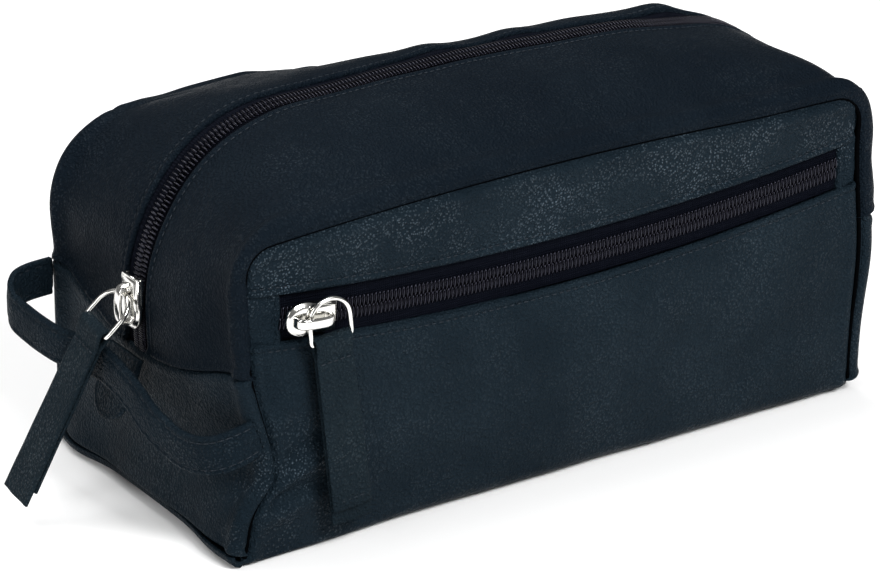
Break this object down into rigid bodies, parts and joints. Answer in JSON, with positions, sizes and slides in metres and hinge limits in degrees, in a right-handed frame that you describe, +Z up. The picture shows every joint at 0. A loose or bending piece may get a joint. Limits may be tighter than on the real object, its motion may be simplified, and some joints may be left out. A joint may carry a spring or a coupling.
{
  "type": "shaving kit bag",
  "caption": "Soft leather wash and shaving kit bag with a zipped top opening, a zipped front pocket and a carry strap sewn to one end.",
  "frame": {"origin": "centre of the flat base, on the surface the bag stands on", "axes": "+X along the length, away from the carry strap and the closed zip sliders; -Y is the face with the pocket; +Z up"},
  "size_m": [0.287, 0.1267, 0.1283],
  "materials": {
    "panel_leather": "soft pebbled grain, satin",
    "roof_leather": "soft pebbled grain, satin",
    "strap_leather": "soft pebbled grain, satin, stitched edges",
    "pull_leather": "soft pebbled grain, satin, raw cut edges",
    "zip_tape": "woven twill tape",
    "zip_coil": "nylon coil, slightly shiny",
    "lining": "plain weave, matt",
    "zip_slider": "polished nickel",
    "pull_ring": "polished nickel wire"
  },
  "bodies": {
    "root": {"back_panel": "panel_leather", "base_panel": "panel_leather", "end_panel_left": "panel_leather", "end_panel_right": "panel_leather", "front_lower_panel": "panel_leather", "front_upper_strip": "panel_leather", "lining_back": "lining", "lining_base": "lining", "lining_front": "lining", "pocket_bag": "lining", "pocket_coil_lower": "zip_coil", "pocket_coil_upper": "zip_coil", "pocket_tab_left": "panel_leather", "pocket_tab_right": "panel_leather", "pocket_tape_lower": "zip_tape", "pocket_tape_upper": "zip_tape", "roof_strip_back": "roof_leather", "roof_strip_front": "roof_leather", "zip_coil_back_left": "zip_coil", "zip_coil_back_right": "zip_coil", "zip_coil_front_left": "zip_coil", "zip_coil_front_right": "zip_coil", "zip_end_tab": "panel_leather", "zip_tape_back_left": "zip_tape", "zip_tape_back_right": "zip_tape", "zip_tape_front_left": "zip_tape", "zip_tape_front_right": "zip_tape"},
    "mouth_front": {"roof_flap_front": "roof_leather", "zip_tape_front_middle": "zip_tape", "zip_coil_front_middle": "zip_coil", "lining_flap_front": "lining"},
    "mouth_back": {"roof_flap_back": "roof_leather", "zip_tape_back_middle": "zip_tape", "zip_coil_back_middle": "zip_coil", "lining_flap_back": "lining"},
    "main_slider": {"main_slider": "zip_slider"},
    "main_ring": {"main_ring": "pull_ring"},
    "main_pull": {"main_pull": "pull_leather"},
    "pocket_slider": {"pocket_slider": "zip_slider"},
    "pocket_ring": {"pocket_ring": "pull_ring"},
    "pocket_pull": {"pocket_pull": "pull_leather"},
    "carry_strap": {"carry_strap": "strap_leather"}
  },
  "joints": [
    {"name": "mouth_front_fold", "type": "hinge", "parent": "root", "child": "mouth_front", "pos_m": [0, -0.0503, 0.118], "axis": [1, 0, 0], "range_deg": [0, 50]},
    {"name": "mouth_back_fold", "type": "hinge", "parent": "root", "child": "mouth_back", "pos_m": [0, 0.0503, 0.1122], "axis": [-0.9987, 0, 0.051], "range_deg": [0, 50]},
    {"name": "main_slider_travel", "type": "hinge", "parent": "root", "child": "main_slider", "pos_m": [-0.066, 0, 0.07], "axis": [0, 1, 0], "range_deg": [0, 45]},
    {"name": "main_ring_swing", "type": "hinge", "parent": "main_slider", "child": "main_ring", "pos_m": [-0.12665, 0, 0.0733], "axis": [0, 0.9848, 0.1736], "range_deg": [0, 80]},
    {"name": "main_pull_swing", "type": "hinge", "parent": "main_ring", "child": "main_pull", "pos_m": [-0.13655, 0.00172, 0.06355], "axis": [0, 0.9848, 0.1736], "range_deg": [0, 90]},
    {"name": "pocket_slider_travel", "type": "hinge", "parent": "root", "child": "pocket_slider", "pos_m": [-0.008, -0.058, 0.9755], "axis": [0, -1, 0], "range_deg": [0, 12.3]},
    {"name": "pocket_ring_swing", "type": "hinge", "parent": "pocket_slider", "child": "pocket_ring", "pos_m": [-0.097, -0.06265, 0.07975], "axis": [0.0872, 0, -0.9962], "range_deg": [0, 85]},
    {"name": "pocket_pull_swing", "type": "hinge", "parent": "pocket_ring", "child": "pocket_pull", "pos_m": [-0.08939, -0.06265, 0.07189], "axis": [-0.9962, 0, -0.0872], "range_deg": [0, 100]},
    {"name": "carry_strap_droop", "type": "hinge", "parent": "root", "child": "carry_strap", "pos_m": [-0.12027, -0.05703, 0.04122], "axis": [0.0799, -0.9849, -0.1535], "range_deg": [0, 18]}
  ],
  "couplings": [
    {"joint": "mouth_back_fold", "follows": "mouth_front_fold", "ratio": 1}
  ]
}
